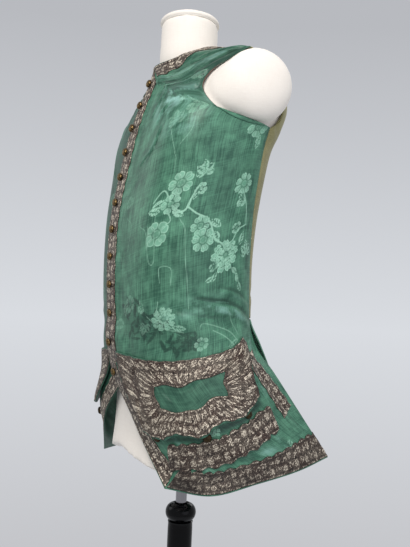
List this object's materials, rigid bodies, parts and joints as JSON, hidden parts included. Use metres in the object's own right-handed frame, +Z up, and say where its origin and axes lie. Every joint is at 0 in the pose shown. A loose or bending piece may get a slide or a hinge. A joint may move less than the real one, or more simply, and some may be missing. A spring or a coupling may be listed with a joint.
{
  "type": "historic waistcoat worn on a limbless dress form with a stand",
  "caption": "Sleeveless green silk waistcoat with flared skirts, pocket flaps and metal lace edging, worn on a cream limbless form with a turned stand.",
  "frame": {"origin": "on the floor at the middle of the underside of the stand base", "axes": "+Z up the stand; the wearer faces -Y; +X towards the wearer's left"},
  "size_m": [0.4381, 0.3692, 1.4072],
  "materials": {
    "green_silk": "silk damask, soft sheen",
    "metal_lace": "woven tarnished metal thread",
    "gilt_button": "tarnished, worked in metal thread",
    "back_linen": "plain woven linen",
    "form_jersey": "smooth knitted cover",
    "stand_steel": "polished",
    "stand_lacquer": "black gloss lacquer"
  },
  "bodies": {
    "root": {"front_left": "green_silk", "front_lace_left": "metal_lace", "neck_lace_left": "metal_lace", "hem_lace_left": "metal_lace", "pocket_side_lace_left": "metal_lace", "pocket_low_lace_left": "metal_lace", "flap_left": "green_silk", "flap_lace_left": "metal_lace", "pocket_button_1_left": "gilt_button", "pocket_button_2_left": "gilt_button", "pocket_button_3_left": "gilt_button", "front_right": "green_silk", "front_lace_right": "metal_lace", "neck_lace_right": "metal_lace", "hem_lace_right": "metal_lace", "pocket_side_lace_right": "metal_lace", "pocket_low_lace_right": "metal_lace", "flap_right": "green_silk", "flap_lace_right": "metal_lace", "pocket_button_1_right": "gilt_button", "pocket_button_2_right": "gilt_button", "pocket_button_3_right": "gilt_button", "back": "back_linen", "back_skirt_left": "green_silk", "back_skirt_right": "green_silk", "button_1": "gilt_button", "button_2": "gilt_button", "button_3": "gilt_button", "button_4": "gilt_button", "button_5": "gilt_button", "button_6": "gilt_button", "button_7": "gilt_button", "button_8": "gilt_button", "button_9": "gilt_button", "button_10": "gilt_button", "button_11": "gilt_button", "button_12": "gilt_button", "form_torso": "form_jersey", "form_neck_cap": "form_jersey", "stand_plate": "stand_steel", "stand_rod": "stand_steel", "stand_column": "stand_lacquer", "stand_base": "stand_lacquer"}
  },
  "joints": []
}
